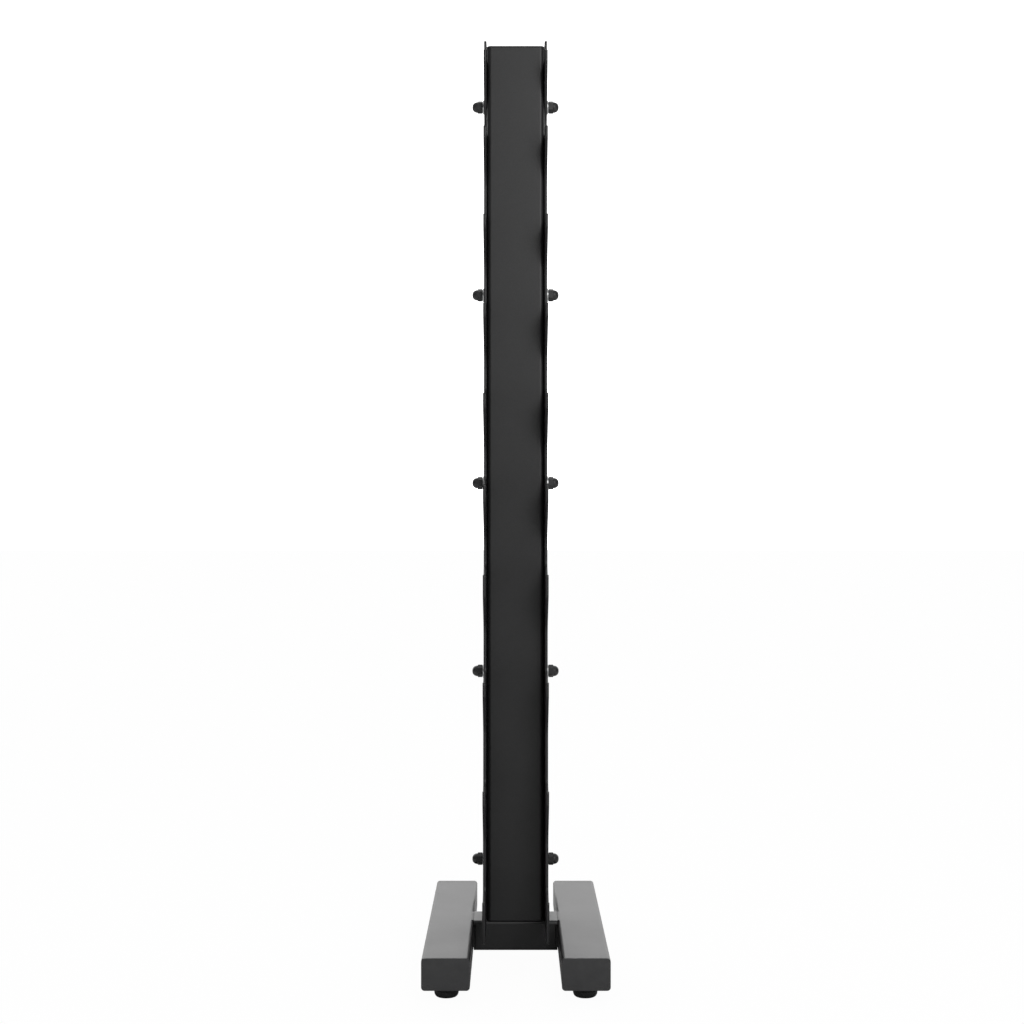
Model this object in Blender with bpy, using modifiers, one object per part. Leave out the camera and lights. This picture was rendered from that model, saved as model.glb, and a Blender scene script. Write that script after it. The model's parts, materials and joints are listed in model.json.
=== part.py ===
"""Double-sided vertical dumbbell rack.

A rectangular spine tube stands on an H-shaped base. Two thin hook plates are bolted to its sides,
and each pair of hooks carries a dumbbell handle across the plates, in front of or behind the spine.
The origin is on the floor under the middle of the base, +Z is up, -Y is the front and +X the right.
"""

import math

import bmesh
import bpy

# Small clearances between pieces that touch.
GAP = 0.0003

# Tubes of the frame: outside sizes, wall and outside corner radius.
TUBE_WALL = 0.0025
TUBE_CORNER = 0.0055
FOOT_WIDTH = 0.0762
FOOT_HEIGHT = 0.0508
FOOT_LENGTH = 0.575
FOOT_CENTRE_X = 0.110
FOOT_BOTTOM = 0.020
FOOT_TOP = FOOT_BOTTOM + FOOT_HEIGHT
CROSS_DEPTH = 0.0762
SPINE_WIDTH = 0.0985
SPINE_DEPTH = 0.0762
SPINE_CORNER = 0.009
SPINE_TOP = 1.5645

# Plastic tube caps: the face that shows, its chamfer, and the hollow plug behind it.
CAP_THICKNESS = 0.003
CAP_CHAMFER = 0.0012
CAP_PLUG_WALL = 0.002
CAP_PLUG_DEPTH = 0.016
CAP_PLUG_INNER_CORNER = 0.001

# Hook plates. Reaches are distances from the plate's centre line, in front and behind alike.
PLATE_THICKNESS = 0.0045
PLATE_TOP = 1.576
PLATE_BOTTOM = FOOT_TOP + GAP
PLATE_BOTTOM_REACH = 0.202
TOP_TIP_HEIGHT = 1.546

# One row a level from the top: reach of the tip, reach of the wall behind it, height of the nose
# under the tip, how far the fin then falls to the next wall, and the distance down to the next tip.
LEVELS = (
    (0.084, 0.028, 0.020, 0.080, 0.131),
    (0.100, 0.018, 0.020, 0.058, 0.150),
    (0.115, 0.037, 0.022, 0.058, 0.150),
    (0.129, 0.042, 0.022, 0.064, 0.150),
    (0.139, 0.043, 0.024, 0.066, 0.150),
    (0.146, 0.050, 0.030, 0.062, 0.150),
    (0.154, 0.052, 0.036, 0.056, 0.175),
    (0.174, 0.079, 0.022, 0.066, 0.175),
    (0.190, 0.111, 0.022, 0.063, 0.175),
    (0.212, 0.132, 0.020, 0.000, 0.000),
)

# The saddle behind each tip, the same on every level: a lip that leans back, a ramp that
# rises to the wall, and a round bottom for the handle between them.
LIP_WIDTH = 0.008
LIP_ANGLE = math.radians(80)
SADDLE_CORNER_DROP = 0.027
RAMP_ANGLE = math.radians(24)
SADDLE_RADIUS = 0.018
TIP_RADIUS = 0.0038
NOSE_RADIUS = 0.008
FIN_RADIUS = 0.036
RAMP_RADIUS = 0.012
CROWN_RADIUS = 0.003
PLATE_FOOT_RADIUS = 0.004

# Tie rods: M12 studs through both plates and the spine, with a dome nut at each end.
ROD_RADIUS = 0.006
ROD_HALF_LENGTH = 0.067
ROD_COUNT = 5
TOP_ROD_HEIGHT = 1.468
ROD_PITCH = 0.3246
ROD_HOLE_RADIUS = 0.0066
SLEEVE_RADIUS = 0.0095
WASHER_RADIUS = 0.012
WASHER_THICKNESS = 0.002
NUT_FLATS = 0.019
NUT_HEX_HEIGHT = 0.0088
NUT_HEIGHT = 0.018
NUT_DOME_RADIUS = 0.0094
NUT_BORE_DEPTH = 0.0125
NUT_CHAMFER_ANGLE = math.radians(30)

# Levelling feet: an M10 stud with a round head that turns inside a rubber pad.
LEVELLER_INSET = 0.045
PAD_RADIUS = 0.0195
PAD_EDGE_RADIUS = 0.0055
PAD_TOP_CHAMFER = 0.001
PAD_RECESS_RADIUS = 0.0115
PAD_RECESS_DEPTH = 0.009
STUD_RADIUS = 0.005
STUD_TOP = 0.055
STUD_CHAMFER = 0.001
STUD_HOLE_RADIUS = 0.0056
STUD_HEAD_RADIUS = 0.011
STUD_HEAD_BOTTOM = 0.004
STUD_SOCKET_FLATS = 0.006
STUD_SOCKET_DEPTH = 0.003
WELD_NUT_FLATS = 0.017
WELD_NUT_HEIGHT = 0.008

# How finely round shapes are cut.
CIRCLE_STEPS = 16
CHAMFER_STEPS = 24
PAD_STEPS = 20
DOME_ARC_STEPS = 3
EDGE_ARC_STEPS = 3
FILLET_SAG = 0.00035
WELD_DISTANCE = 0.00001
SHARP_ANGLE = math.radians(35)

FLAT_IN_XY = (0.0, 0.0, 0.0)
FLAT_IN_XZ = (math.radians(90), 0.0, 0.0)
FLAT_IN_YZ = (math.radians(90), 0.0, math.radians(90))
FACING_FRONT = (math.radians(90), 0.0, 0.0)
FACING_REAR = (math.radians(90), 0.0, math.radians(180))
ALONG_RIGHT = (0.0, math.radians(90), 0.0)
ALONG_LEFT = (0.0, math.radians(-90), 0.0)

SIDES = (("left", -1), ("right", 1))
ENDS = (("front", -1), ("rear", 1))


def clear_scene():
    for old in list(bpy.data.objects):
        bpy.data.objects.remove(old, do_unlink=True)


def new_collection(name):
    collection = bpy.data.collections.new(name)
    bpy.context.scene.collection.children.link(collection)
    return collection


def new_material(name, color, roughness, metallic=0.0):
    material = bpy.data.materials.new(name)
    material.use_nodes = True
    principled = material.node_tree.nodes["Principled BSDF"]
    principled.inputs["Base Color"].default_value = (*color, 1.0)
    principled.inputs["Roughness"].default_value = roughness
    principled.inputs["Metallic"].default_value = metallic
    return material


clear_scene()
RACK = new_collection("dumbbell_rack")
CUTTERS = new_collection("cutters")

POWDER_COAT = new_material("black_powder_coat", (0.018, 0.018, 0.019), 0.42)
BLACK_PLASTIC = new_material("black_plastic", (0.020, 0.020, 0.021), 0.50)
BLACK_OXIDE = new_material("black_oxide_steel", (0.030, 0.030, 0.032), 0.35, 0.6)
ZINC = new_material("zinc_plated_steel", (0.55, 0.55, 0.54), 0.35, 1.0)
RUBBER = new_material("black_rubber", (0.012, 0.012, 0.012), 0.80)


def circle(radius, steps=CIRCLE_STEPS, centre=(0.0, 0.0)):
    turn = 2 * math.pi / steps
    return [
        (centre[0] + radius * math.cos(i * turn), centre[1] + radius * math.sin(i * turn))
        for i in range(steps)
    ]


def hexagon(across_flats):
    return circle(across_flats / math.sqrt(3), 6)


def filleted(corners):
    """The closed outline through corners (x, y, radius), each rounded with an arc."""
    points = []
    for i, (x, y, radius) in enumerate(corners):
        before = corners[i - 1]
        after = corners[(i + 1) % len(corners)]
        to_before = math.atan2(before[1] - y, before[0] - x)
        to_after = math.atan2(after[1] - y, after[0] - x)
        opening = (to_after - to_before + math.pi) % (2 * math.pi) - math.pi
        turn = math.pi - abs(opening)
        middle = to_before + opening / 2
        reach = radius / math.sin(abs(opening) / 2)
        centre_x = x + reach * math.cos(middle)
        centre_y = y + reach * math.sin(middle)
        widest_step = 2 * math.acos(1 - FILLET_SAG / radius)
        steps = math.ceil(turn / widest_step)
        sweep = turn if opening < 0 else -turn
        start = middle + math.pi - sweep / 2
        for step in range(steps + 1):
            angle = start + sweep * step / steps
            points.append((centre_x + radius * math.cos(angle), centre_y + radius * math.sin(angle)))
    return points


def rounded_rectangle(width, height, radius):
    x, y = width / 2, height / 2
    return filleted([(-x, -y, radius), (x, -y, radius), (x, y, radius), (-x, y, radius)])


def tube_outlines(width, height, corner):
    return [
        rounded_rectangle(width, height, corner),
        rounded_rectangle(width - 2 * TUBE_WALL, height - 2 * TUBE_WALL, corner - TUBE_WALL),
    ]


def weld(mesh):
    bm = bmesh.new()
    bm.from_mesh(mesh)
    bmesh.ops.remove_doubles(bm, verts=bm.verts, dist=WELD_DISTANCE)
    bmesh.ops.recalc_face_normals(bm, faces=bm.faces)
    bm.to_mesh(mesh)
    bm.free()


def baked_mesh(source):
    """The evaluated mesh of a curve or of an object with modifiers, which is then removed."""
    bpy.context.view_layer.update()
    depsgraph = bpy.context.evaluated_depsgraph_get()
    mesh = bpy.data.meshes.new_from_object(source.evaluated_get(depsgraph))
    bpy.data.objects.remove(source, do_unlink=True)
    return mesh


def place(name, mesh, material, location=(0.0, 0.0, 0.0), rotation=FLAT_IN_XY):
    """An object of the rack for a mesh that other objects may share."""
    if not mesh.materials:
        mesh.materials.append(material)
    mesh.shade_smooth()
    mesh.set_sharp_from_angle(angle=SHARP_ANGLE)
    piece = bpy.data.objects.new(name, mesh)
    piece.location = location
    piece.rotation_euler = rotation
    RACK.objects.link(piece)
    return piece


def hide_as_cutter(piece):
    for collection in list(piece.users_collection):
        collection.objects.unlink(piece)
    CUTTERS.objects.link(piece)
    piece.hide_render = True
    piece.display_type = "WIRE"
    return piece


def flat_mesh(outlines, thickness):
    """Flat outlines, the outer one first, extruded evenly to both sides of local Z = 0."""
    curve = bpy.data.curves.new("outline", "CURVE")
    curve.dimensions = "2D"
    curve.fill_mode = "BOTH"
    curve.extrude = thickness / 2
    for outline in outlines:
        spline = curve.splines.new("POLY")
        spline.points.add(len(outline) - 1)
        for point, (x, y) in zip(spline.points, outline):
            point.co = (x, y, 0.0, 1.0)
        spline.use_cyclic_u = True
    source = bpy.data.objects.new("outline", curve)
    CUTTERS.objects.link(source)
    mesh = baked_mesh(source)
    weld(mesh)
    return mesh


def turned_mesh(profile, steps, closed=False):
    """A profile of (radius, height) points, top to bottom down its outer side, turned about Z."""
    mesh = bpy.data.meshes.new("profile")
    edges = [(i, i + 1) for i in range(len(profile) - 1)]
    if closed:
        edges.append((len(profile) - 1, 0))
    mesh.from_pydata([(radius, 0.0, height) for radius, height in profile], edges, [])
    source = bpy.data.objects.new("profile", mesh)
    CUTTERS.objects.link(source)
    screw = source.modifiers.new("turn", "SCREW")
    screw.axis = "Z"
    screw.angle = 2 * math.pi
    screw.steps = steps
    screw.render_steps = steps
    screw.use_merge_vertices = True
    screw.merge_threshold = WELD_DISTANCE
    return baked_mesh(source)


def helper(mesh, location=(0.0, 0.0, 0.0), rotation=FLAT_IN_XY):
    piece = bpy.data.objects.new("helper", mesh)
    piece.location = location
    piece.rotation_euler = rotation
    CUTTERS.objects.link(piece)
    return hide_as_cutter(piece)


def combine(target, operation, other):
    boolean = target.modifiers.new(operation.lower(), "BOOLEAN")
    boolean.operation = operation
    boolean.object = other
    boolean.solver = "EXACT"


def cylinder_cutter(radius, length, location, rotation=FLAT_IN_XY):
    bpy.ops.mesh.primitive_cylinder_add(
        vertices=CIRCLE_STEPS, radius=radius, depth=length, location=location, rotation=rotation
    )
    return hide_as_cutter(bpy.context.object)


def arc(centre, radius, start_degrees, end_degrees, steps):
    points = []
    for step in range(steps + 1):
        angle = math.radians(start_degrees + (end_degrees - start_degrees) * step / steps)
        points.append((centre[0] + radius * math.cos(angle), centre[1] + radius * math.sin(angle)))
    return points


def rod_heights():
    return [TOP_ROD_HEIGHT - i * ROD_PITCH for i in range(ROD_COUNT)]


def tip_heights():
    heights = [TOP_TIP_HEIGHT]
    for level in LEVELS[:-1]:
        heights.append(heights[-1] - level[-1])
    return heights


def plate_side_corners():
    """Corners of the plate's front half, from its crown down to its foot, as (reach, height, radius)."""
    corners = [(LEVELS[0][1], PLATE_TOP, CROWN_RADIUS)]
    lip_run = SADDLE_CORNER_DROP / math.tan(LIP_ANGLE)
    for i, ((reach, wall, nose, fin_drop, _), height) in enumerate(zip(LEVELS, tip_heights())):
        saddle_reach = reach - LIP_WIDTH - lip_run
        saddle_height = height - SADDLE_CORNER_DROP
        ramp_height = saddle_height + (saddle_reach - wall) * math.tan(RAMP_ANGLE)
        nose_height = height - nose
        corners.append((wall, ramp_height, RAMP_RADIUS))
        corners.append((saddle_reach, saddle_height, SADDLE_RADIUS))
        corners.append((reach - LIP_WIDTH, height, TIP_RADIUS))
        corners.append((reach, height, TIP_RADIUS))
        corners.append((reach, nose_height, NOSE_RADIUS))
        if i + 1 < len(LEVELS):
            corners.append((LEVELS[i + 1][1], nose_height - fin_drop, FIN_RADIUS))
    corners.append((PLATE_BOTTOM_REACH, PLATE_BOTTOM, PLATE_FOOT_RADIUS))
    return corners


def build_hook_plates():
    front = plate_side_corners()
    rear = [(-reach, height, radius) for reach, height, radius in reversed(front)]
    outlines = [filleted(front + rear)]
    for height in rod_heights():
        outlines.append(circle(ROD_HOLE_RADIUS, centre=(0.0, height)))
    mesh = flat_mesh(outlines, PLATE_THICKNESS)
    x = SPINE_WIDTH / 2 + GAP + PLATE_THICKNESS / 2
    for side, sign in SIDES:
        place(f"hook_plate_{side}", mesh, POWDER_COAT, (sign * x, 0.0, 0.0), FLAT_IN_YZ)


def build_spine():
    bottom = FOOT_TOP + GAP
    top = SPINE_TOP - CAP_THICKNESS - GAP
    mesh = flat_mesh(tube_outlines(SPINE_WIDTH, SPINE_DEPTH, SPINE_CORNER), top - bottom)
    spine = place("spine", mesh, POWDER_COAT, (0.0, 0.0, (top + bottom) / 2))
    for height in rod_heights():
        cutter = cylinder_cutter(ROD_HOLE_RADIUS, 2 * SPINE_WIDTH, (0.0, 0.0, height), ALONG_RIGHT)
        combine(spine, "DIFFERENCE", cutter)


def build_base():
    foot_length = FOOT_LENGTH - 2 * (CAP_THICKNESS + GAP)
    foot_mesh = flat_mesh(tube_outlines(FOOT_WIDTH, FOOT_HEIGHT, TUBE_CORNER), foot_length)
    middle = FOOT_BOTTOM + FOOT_HEIGHT / 2
    for side, sign in SIDES:
        x = sign * FOOT_CENTRE_X
        foot = place(f"foot_{side}", foot_mesh, POWDER_COAT, (x, 0.0, middle), FLAT_IN_XZ)
        for _, end in ENDS:
            y = end * (FOOT_LENGTH / 2 - LEVELLER_INSET)
            cutter = cylinder_cutter(STUD_HOLE_RADIUS, 4 * TUBE_WALL, (x, y, FOOT_BOTTOM))
            combine(foot, "DIFFERENCE", cutter)
    cross_length = 2 * FOOT_CENTRE_X - FOOT_WIDTH - 2 * GAP
    cross_mesh = flat_mesh(tube_outlines(CROSS_DEPTH, FOOT_HEIGHT, TUBE_CORNER), cross_length)
    place("cross_tube", cross_mesh, POWDER_COAT, (0.0, 0.0, middle), FLAT_IN_YZ)


def chamfer_face_edges(mesh, height, width):
    """Chamfers the edges that lie in the plane local Z = height."""
    bm = bmesh.new()
    bm.from_mesh(mesh)
    edges = [e for e in bm.edges if all(abs(v.co.z - height) < WELD_DISTANCE for v in e.verts)]
    rim = [e for e in edges if len({round(f.normal.z, 3) for f in e.link_faces}) > 1]
    bmesh.ops.bevel(bm, geom=rim, offset=width, segments=1, affect="EDGES")
    bm.to_mesh(mesh)
    bm.free()


def cap_mesh(width, height, corner):
    """A tube cap whose face looks along +Z at Z = 0, with its hollow plug below."""
    face = flat_mesh([rounded_rectangle(width, height, corner)], CAP_THICKNESS)
    chamfer_face_edges(face, CAP_THICKNESS / 2, CAP_CHAMFER)
    plug_width = width - 2 * (TUBE_WALL + GAP)
    plug_height = height - 2 * (TUBE_WALL + GAP)
    plug_corner = corner - TUBE_WALL
    hollow_width = plug_width - 2 * CAP_PLUG_WALL
    hollow_height = plug_height - 2 * CAP_PLUG_WALL
    plug_outlines = [
        rounded_rectangle(plug_width, plug_height, plug_corner),
        rounded_rectangle(hollow_width, hollow_height, CAP_PLUG_INNER_CORNER),
    ]
    plug = helper(flat_mesh(plug_outlines, CAP_PLUG_DEPTH), (0.0, 0.0, -CAP_PLUG_DEPTH / 2))
    cap = helper(face)
    combine(cap, "UNION", plug)
    mesh = baked_mesh(cap)
    bpy.data.objects.remove(plug, do_unlink=True)
    for vertex in mesh.vertices:
        vertex.co.z -= CAP_THICKNESS / 2
    return mesh


def build_caps():
    foot_cap = cap_mesh(FOOT_WIDTH, FOOT_HEIGHT, TUBE_CORNER)
    middle = FOOT_BOTTOM + FOOT_HEIGHT / 2
    for side, sign in SIDES:
        for end, direction in ENDS:
            location = (sign * FOOT_CENTRE_X, direction * FOOT_LENGTH / 2, middle)
            facing = FACING_FRONT if direction < 0 else FACING_REAR
            place(f"foot_cap_{side}_{end}", foot_cap, BLACK_PLASTIC, location, facing)
    spine_cap = cap_mesh(SPINE_WIDTH, SPINE_DEPTH, SPINE_CORNER)
    place("spine_top_cap", spine_cap, BLACK_PLASTIC, (0.0, 0.0, SPINE_TOP))


def dome_nut_mesh():
    """A dome nut standing on Z = 0, bored from below."""
    corner_radius = NUT_FLATS / math.sqrt(3)
    face_radius = NUT_FLATS / 2 - 2 * GAP
    beyond = 2 * GAP
    beyond_radius = face_radius - beyond / math.tan(NUT_CHAMFER_ANGLE)
    side_radius = corner_radius + beyond
    chamfer = (side_radius - face_radius) * math.tan(NUT_CHAMFER_ANGLE)
    blank_profile = [
        (0.0, NUT_HEX_HEIGHT + beyond),
        (beyond_radius, NUT_HEX_HEIGHT + beyond),
        (side_radius, NUT_HEX_HEIGHT - chamfer),
        (side_radius, chamfer),
        (beyond_radius, -beyond),
        (0.0, -beyond),
    ]
    hexagon_mesh = flat_mesh([hexagon(NUT_FLATS)], NUT_HEX_HEIGHT)
    hexagon_blank = helper(hexagon_mesh, (0.0, 0.0, NUT_HEX_HEIGHT / 2))
    blank = helper(turned_mesh(blank_profile, CHAMFER_STEPS))
    dome_base = NUT_HEIGHT - NUT_DOME_RADIUS
    dome_profile = arc((0.0, dome_base), NUT_DOME_RADIUS, 90, 0, DOME_ARC_STEPS)
    dome_profile[0] = (0.0, NUT_HEIGHT)
    dome_profile += [(NUT_DOME_RADIUS, NUT_HEX_HEIGHT / 2), (0.0, NUT_HEX_HEIGHT / 2)]
    dome = helper(turned_mesh(dome_profile, CIRCLE_STEPS))
    drill = cylinder_cutter(ROD_RADIUS + GAP, 2 * NUT_BORE_DEPTH, (0.0, 0.0, 0.0))
    combine(hexagon_blank, "INTERSECT", blank)
    combine(hexagon_blank, "UNION", dome)
    combine(hexagon_blank, "DIFFERENCE", drill)
    mesh = baked_mesh(hexagon_blank)
    for used in (blank, dome, drill):
        bpy.data.objects.remove(used, do_unlink=True)
    for vertex in mesh.vertices:
        vertex.co.z += NUT_HEX_HEIGHT / 2
    return mesh


def build_tie_rods():
    plate_face = SPINE_WIDTH / 2 + GAP + PLATE_THICKNESS
    washer_middle = plate_face + GAP + WASHER_THICKNESS / 2
    nut_seat = plate_face + 2 * GAP + WASHER_THICKNESS
    sleeve_length = SPINE_WIDTH - 2 * (TUBE_WALL + GAP)
    rod_profile = [(0.0, ROD_HALF_LENGTH), (ROD_RADIUS, ROD_HALF_LENGTH)]
    rod_profile += [(ROD_RADIUS, -ROD_HALF_LENGTH), (0.0, -ROD_HALF_LENGTH)]
    rod = turned_mesh(rod_profile, CIRCLE_STEPS)
    sleeve = flat_mesh([circle(SLEEVE_RADIUS), circle(ROD_HOLE_RADIUS)], sleeve_length)
    washer = flat_mesh([circle(WASHER_RADIUS), circle(ROD_HOLE_RADIUS)], WASHER_THICKNESS)
    nut = dome_nut_mesh()
    for number, height in enumerate(rod_heights(), start=1):
        place(f"tie_rod_{number}", rod, ZINC, (0.0, 0.0, height), ALONG_RIGHT)
        place(f"crush_sleeve_{number}", sleeve, ZINC, (0.0, 0.0, height), ALONG_RIGHT)
        for side, sign in SIDES:
            along = ALONG_RIGHT if sign > 0 else ALONG_LEFT
            place(f"washer_{side}_{number}", washer, ZINC, (sign * washer_middle, 0.0, height), along)
            place(f"dome_nut_{side}_{number}", nut, BLACK_OXIDE, (sign * nut_seat, 0.0, height), along)


def pad_mesh():
    top = FOOT_BOTTOM - GAP
    bore = STUD_HOLE_RADIUS
    edge_centre = (PAD_RADIUS - PAD_EDGE_RADIUS, PAD_EDGE_RADIUS)
    foot_arc = arc(edge_centre, PAD_EDGE_RADIUS, 0, -90, EDGE_ARC_STEPS)
    profile = [(PAD_RADIUS - PAD_TOP_CHAMFER, top), (PAD_RADIUS, top - PAD_TOP_CHAMFER)]
    profile += foot_arc
    profile += [
        (PAD_RECESS_RADIUS, 0.0),
        (PAD_RECESS_RADIUS, PAD_RECESS_DEPTH),
        (bore, PAD_RECESS_DEPTH),
        (bore, top),
    ]
    return turned_mesh(profile, PAD_STEPS, closed=True)


def leveller_stud_mesh():
    head_top = PAD_RECESS_DEPTH - GAP
    profile = [
        (0.0, STUD_TOP),
        (STUD_RADIUS - STUD_CHAMFER, STUD_TOP),
        (STUD_RADIUS, STUD_TOP - STUD_CHAMFER),
        (STUD_RADIUS, head_top),
        (STUD_HEAD_RADIUS, head_top),
        (STUD_HEAD_RADIUS, STUD_HEAD_BOTTOM),
        (0.0, STUD_HEAD_BOTTOM),
    ]
    stud = helper(turned_mesh(profile, CIRCLE_STEPS))
    socket_mesh = flat_mesh([hexagon(STUD_SOCKET_FLATS)], 2 * STUD_SOCKET_DEPTH)
    socket = helper(socket_mesh, (0.0, 0.0, STUD_HEAD_BOTTOM))
    combine(stud, "DIFFERENCE", socket)
    mesh = baked_mesh(stud)
    bpy.data.objects.remove(socket, do_unlink=True)
    return mesh


def build_levellers():
    pad = pad_mesh()
    stud = leveller_stud_mesh()
    weld_nut = flat_mesh([hexagon(WELD_NUT_FLATS), circle(STUD_HOLE_RADIUS)], WELD_NUT_HEIGHT)
    nut_height = FOOT_BOTTOM + TUBE_WALL + GAP + WELD_NUT_HEIGHT / 2
    for side, sign in SIDES:
        for end, direction in ENDS:
            x = sign * FOOT_CENTRE_X
            y = direction * (FOOT_LENGTH / 2 - LEVELLER_INSET)
            place(f"leveller_pad_{side}_{end}", pad, RUBBER, (x, y, 0.0))
            place(f"leveller_stud_{side}_{end}", stud, ZINC, (x, y, 0.0))
            place(f"weld_nut_{side}_{end}", weld_nut, ZINC, (x, y, nut_height))


build_base()
build_spine()
build_hook_plates()
build_caps()
build_tie_rods()
build_levellers()
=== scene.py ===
# %% [markdown]
# # A double-sided dumbbell rack
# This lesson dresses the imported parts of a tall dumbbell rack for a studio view. The engineering
# model gives every piece its place and size. Each cell below takes one piece or one finish, says
# what it is on a real rack, and builds it from points, rings and nodes.

# %% Load the engineering model
import json
import math
import bmesh
import bpy
from mathutils import Matrix, Vector

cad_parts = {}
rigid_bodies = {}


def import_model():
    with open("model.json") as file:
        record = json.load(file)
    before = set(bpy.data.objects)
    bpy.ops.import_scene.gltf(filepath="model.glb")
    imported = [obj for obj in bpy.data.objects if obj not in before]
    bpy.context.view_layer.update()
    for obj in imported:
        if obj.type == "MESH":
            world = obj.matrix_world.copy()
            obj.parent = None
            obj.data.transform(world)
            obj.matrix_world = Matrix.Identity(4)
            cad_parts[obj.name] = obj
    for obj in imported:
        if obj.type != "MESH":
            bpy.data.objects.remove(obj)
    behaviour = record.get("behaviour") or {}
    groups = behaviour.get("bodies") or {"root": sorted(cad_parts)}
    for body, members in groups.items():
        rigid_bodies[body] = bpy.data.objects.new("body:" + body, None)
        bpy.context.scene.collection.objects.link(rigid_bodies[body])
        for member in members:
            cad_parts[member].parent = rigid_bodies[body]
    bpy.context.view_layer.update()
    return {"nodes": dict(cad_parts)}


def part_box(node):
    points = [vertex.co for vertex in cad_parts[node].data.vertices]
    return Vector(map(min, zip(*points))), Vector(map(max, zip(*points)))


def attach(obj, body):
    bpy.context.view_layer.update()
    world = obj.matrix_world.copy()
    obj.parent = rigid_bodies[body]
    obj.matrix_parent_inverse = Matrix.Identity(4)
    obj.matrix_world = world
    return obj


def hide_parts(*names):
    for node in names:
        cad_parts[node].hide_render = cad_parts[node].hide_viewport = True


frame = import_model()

nodes = frame["nodes"]

# %% [markdown]
# ## Reading sizes off the engineering model
# A piece is rebuilt finely only where its engineering twin stands, so its size and place are read
# from that twin. The helper gives a piece's middle and its size along X, Y and Z in metres.

# %% Middle and size of a piece
def middle_and_size(node):
    low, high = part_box(node)
    return (low + high) / 2, high - low


SIDES = {"left": -1, "right": 1}
ENDS = {"front": -1, "rear": 1}
CORNERS = [(side, end) for side in SIDES for end in ENDS]
foot_middle, foot_size = middle_and_size("foot_left")
spine_middle, spine_size = middle_and_size("spine")
print("foot", [round(v, 4) for v in foot_size], "spine", [round(v, 4) for v in spine_size])

# %% [markdown]
# ## Node groups: one effect, many materials
# Grain, dust and wear show up on several finishes. Each effect is a shader node group with named
# inputs and outputs, built once. The first helper makes a group and hands back its ends, and a few
# small wiring functions keep the node code short.

# %% Helpers that build and wire nodes
def new_group(name, inputs, outputs):
    """A node group of plain values: its named inputs have defaults, its outputs only names."""
    group = bpy.data.node_groups.new(name, "ShaderNodeTree")
    for socket_name, default in inputs.items():
        socket = group.interface.new_socket(socket_name, in_out="INPUT", socket_type="NodeSocketFloat")
        socket.default_value = default
    for socket_name in outputs:
        group.interface.new_socket(socket_name, in_out="OUTPUT", socket_type="NodeSocketFloat")
    start = group.nodes.new("NodeGroupInput")
    end = group.nodes.new("NodeGroupOutput")
    return group, start.outputs, end.inputs


def add_node(tree, kind, values=None, **settings):
    """A node with its settings made and its inputs filled: a number stays, a socket is linked."""
    node = tree.nodes.new(kind)
    for name, value in settings.items():
        setattr(node, name, value)
    for key, value in (values or {}).items():
        if isinstance(value, bpy.types.NodeSocket):
            tree.links.new(value, node.inputs[key])
        else:
            node.inputs[key].default_value = value
    return node


def remap(tree, value, low, high, to_low=0.0, to_high=1.0):
    """Stretches a value from one range to another, and clamps it there."""
    inputs = {"Value": value, "From Min": low, "From Max": high, "To Min": to_low, "To Max": to_high}
    return add_node(tree, "ShaderNodeMapRange", inputs).outputs["Result"]


def maths(tree, operation, first, second=0.0):
    return add_node(tree, "ShaderNodeMath", {0: first, 1: second}, operation=operation).outputs[0]


def blend_colors(tree, factor, first, second):
    mix = add_node(tree, "ShaderNodeMix", {0: factor, 6: first, 7: second}, data_type="RGBA")
    return mix.outputs[2]


def own_place(tree):
    """The point being shaded in the piece's own space, so that a pattern keeps its real size."""
    return add_node(tree, "ShaderNodeTexCoord").outputs["Object"]


def noise(tree, place, scale, detail, roughness=0.5):
    values = {"Vector": place, "Scale": scale, "Detail": detail, "Roughness": roughness}
    return add_node(tree, "ShaderNodeTexNoise", values).outputs["Fac"]


# %% [markdown]
# ## Powder grain
# Powder coat is dry paint baked until it flows. It never flows quite flat: a fine pebble texture
# stays, with a longer, softer orange peel under it. Two noises of different size add up to that
# relief. The fine one also varies the colour, and a third, broad one makes the gloss uneven.

# %% Group: powder_grain
def make_powder_grain():
    group, given, out = new_group("powder_grain", {"Pebble Size": 0.0012, "Peel Share": 0.5},
                                  ["Height", "Fine", "Broad"])
    place = own_place(group)
    pebble_scale = maths(group, "DIVIDE", 1.0, given["Pebble Size"])
    peel_scale = maths(group, "MULTIPLY", pebble_scale, 0.22)
    pebbles = noise(group, place, pebble_scale, detail=2.0, roughness=0.55)
    peel = noise(group, place, peel_scale, detail=1.0)
    drift = noise(group, place, 9.0, detail=3.0)
    peel_part = maths(group, "MULTIPLY", peel, given["Peel Share"])
    group.links.new(maths(group, "ADD", pebbles, peel_part), out["Height"])
    group.links.new(remap(group, pebbles, 0.35, 0.65), out["Fine"])
    group.links.new(remap(group, drift, 0.3, 0.7), out["Broad"])
    return group


POWDER_GRAIN = make_powder_grain()
print("group", POWDER_GRAIN.name, "with", len(POWDER_GRAIN.nodes), "nodes")

# %% [markdown]
# ## Settled dust
# A gym rack collects a little chalk and lint on the faces that look up. The surface's own normal
# tells how much a face looks up, and a noise breaks the film into specks.

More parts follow.
